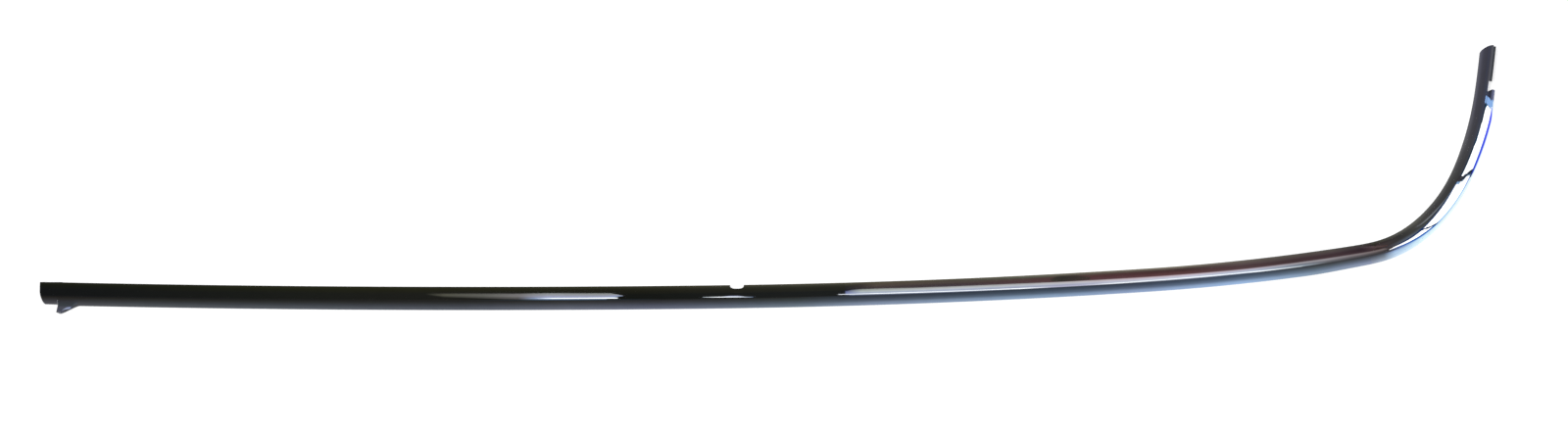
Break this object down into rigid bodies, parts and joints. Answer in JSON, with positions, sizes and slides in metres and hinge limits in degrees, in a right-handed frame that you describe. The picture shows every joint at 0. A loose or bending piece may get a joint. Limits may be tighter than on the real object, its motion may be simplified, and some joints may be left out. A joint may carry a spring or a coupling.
{
  "type": "car body side moulding",
  "caption": "Bright roll-formed side moulding strip, an open clip-on channel with one end curved up and its bead cut back to a tongue.",
  "frame": {"origin": "middle of the strip's own box, at the underside of its return lips", "axes": "+X runs along the strip towards its bent end, +Y across it, towards the side that the end bends to, +Z out of its bright face"},
  "size_m": [1.2478, 0.2304, 0.0077],
  "materials": {
    "polished_sheet": "mirror polished"
  },
  "bodies": {
    "root": {"moulding_strip": "polished_sheet"}
  },
  "joints": []
}
